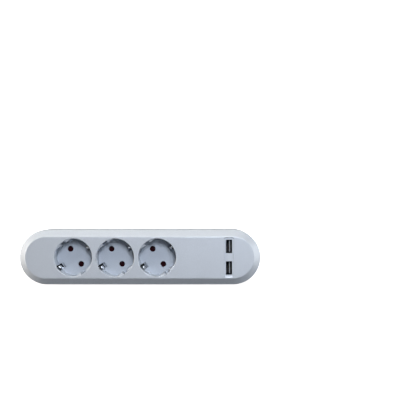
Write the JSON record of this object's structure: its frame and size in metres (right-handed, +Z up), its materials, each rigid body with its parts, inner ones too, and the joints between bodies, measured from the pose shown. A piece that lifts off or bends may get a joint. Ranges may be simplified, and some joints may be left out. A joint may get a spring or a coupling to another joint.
{
  "type": "desk power strip",
  "caption": "Slim round-ended desk power strip with recessed earthed round-plug sockets behind turning shutters, a USB charger insert and a recessed appliance inlet in one end.",
  "frame": {"origin": "on the desk surface under the middle of the housing's outline", "axes": "+X along the strip from the inlet end to the USB end, +Y to the back, +Z up out of the socket face"},
  "size_m": [0.2446, 0.0556, 0.042],
  "materials": {
    "silver_lacquer": "satin silver-grey metallic lacquer on moulded plastic",
    "cup_grey": "satin silver-grey moulded plastic",
    "black_plastic": "fine-grained black moulded plastic",
    "rubber": "matt black rubber",
    "zinc_steel": "bright zinc-plated steel",
    "shutter_red": "dark red-brown smooth plastic",
    "spring_steel": "bright drawn spring wire",
    "brass": "stamped brass",
    "nickel": "nickel-plated stamped spring bronze",
    "tin_plate": "tin-plated folded steel",
    "tongue_black": "black moulded insulator",
    "board_green": "green solder-resist over glass-fibre board",
    "ferrite": "dark grey sintered ferrite",
    "yellow_tape": "yellow polyester winding tape",
    "can_sleeve": "dark blue shrink sleeve over an aluminium can",
    "live_brown": "brown lead insulation",
    "neutral_blue": "blue lead insulation",
    "earth_green": "green and yellow lead insulation"
  },
  "bodies": {
    "housing": {"top_cover": "silver_lacquer", "base_plate": "black_plastic", "foot_1": "rubber", "foot_2": "rubber", "foot_3": "rubber", "foot_4": "rubber", "housing_screw_1": "zinc_steel", "housing_screw_2": "zinc_steel", "housing_screw_3": "zinc_steel", "housing_screw_4": "zinc_steel", "housing_screw_5": "zinc_steel", "housing_screw_6": "zinc_steel", "carrier_screw_1": "zinc_steel", "carrier_screw_2": "zinc_steel", "board_screw_1": "zinc_steel", "board_screw_2": "zinc_steel", "board_screw_3": "zinc_steel", "socket_cup_1": "cup_grey", "socket_cup_2": "cup_grey", "socket_cup_3": "cup_grey", "usb_bezel": "cup_grey", "shutter_spring_1": "spring_steel", "shutter_spring_2": "spring_steel", "shutter_spring_3": "spring_steel", "line_busbar": "brass", "neutral_busbar": "brass", "earth_busbar": "nickel", "inlet_pin_live": "nickel", "inlet_pin_neutral": "nickel", "inlet_pin_earth": "nickel", "contact_carrier": "black_plastic", "usb_shell_1": "tin_plate", "usb_shell_2": "tin_plate", "usb_tongue_1": "tongue_black", "usb_tongue_2": "tongue_black", "fuse": "tongue_black", "charger_board": "board_green", "transformer_core": "ferrite", "rectifier": "ferrite", "transformer_coil": "yellow_tape", "input_capacitor": "can_sleeve", "output_capacitor": "can_sleeve", "inlet_housing": "black_plastic", "inlet_lead_live": "live_brown", "board_lead_live": "live_brown", "inlet_lead_neutral": "neutral_blue", "board_lead_neutral": "neutral_blue", "inlet_lead_earth": "earth_green"},
    "shutter_1": {"shutter_1": "shutter_red"},
    "shutter_2": {"shutter_2": "shutter_red"},
    "shutter_3": {"shutter_3": "shutter_red"}
  },
  "joints": [
    {"name": "shutter_1_turn", "type": "hinge", "parent": "housing", "child": "shutter_1", "pos_m": [-0.06705, 0, 0.0208], "axis": [0, 0, 1], "range_deg": [0, 40], "stiffness_Nm_per_rad": 0.003, "springref_deg": -20.05, "deforming": ["shutter_spring_1"]},
    {"name": "shutter_2_turn", "type": "hinge", "parent": "housing", "child": "shutter_2", "pos_m": [-0.0248, 0, 0.0208], "axis": [0, 0, 1], "range_deg": [0, 40], "stiffness_Nm_per_rad": 0.003, "springref_deg": -20.05, "deforming": ["shutter_spring_2"]},
    {"name": "shutter_3_turn", "type": "hinge", "parent": "housing", "child": "shutter_3", "pos_m": [0.0176, 0, 0.0208], "axis": [0, 0, 1], "range_deg": [0, 40], "stiffness_Nm_per_rad": 0.003, "springref_deg": -20.05, "deforming": ["shutter_spring_3"]}
  ]
}
